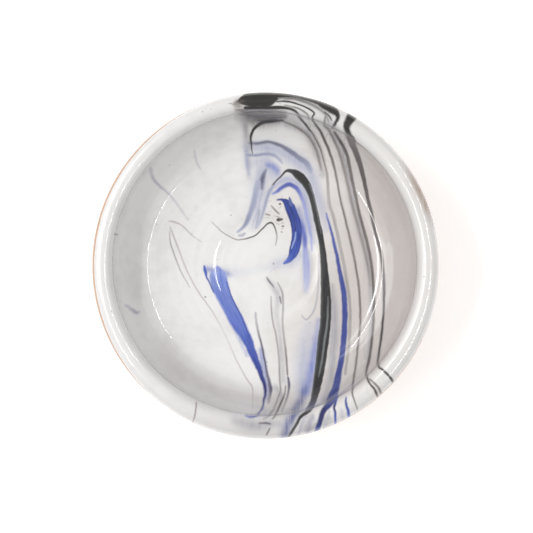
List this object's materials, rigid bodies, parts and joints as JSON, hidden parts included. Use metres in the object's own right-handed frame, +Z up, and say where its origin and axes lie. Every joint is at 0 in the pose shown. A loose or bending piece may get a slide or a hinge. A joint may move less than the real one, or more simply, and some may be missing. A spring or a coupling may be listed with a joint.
{
  "type": "ring dish",
  "caption": "Small round pottery dish with a rolled lip, a curved wall and a turned foot ring, its inside covered with marbled slips.",
  "frame": {"origin": "middle of the foot ring, on the surface that the dish stands on", "axes": "+Z up through the middle of the dish, +Y towards the far lip with the black pool, +X to the right"},
  "size_m": [0.1, 0.1, 0.028],
  "materials": {
    "clay": "bare fired tan clay",
    "white_slip": "glossy",
    "black_slip": "glossy",
    "pool_slip": "glossy",
    "cobalt_slip": "glossy",
    "pale_blue_slip": "glossy",
    "blue_slip": "glossy",
    "dark_blue_slip": "glossy",
    "grey_slip": "glossy",
    "light_grey_slip": "glossy",
    "blue_grey_slip": "glossy",
    "brown_slip": "glossy",
    "outer_glaze": "clear glaze over tan clay, glossy"
  },
  "bodies": {
    "root": {"clay_body": "clay", "white_slip": "white_slip", "black_vein": "black_slip", "rim_pool": "pool_slip", "cobalt_hook": "cobalt_slip", "blue_arch": "pale_blue_slip", "left_blue_vein": "blue_slip", "right_blue_vein": "dark_blue_slip", "right_grey_veins": "grey_slip", "lower_grey_veins": "light_grey_slip", "grey_wisps": "blue_grey_slip", "clay_hairlines": "brown_slip", "outer_glaze": "outer_glaze"}
  },
  "joints": []
}
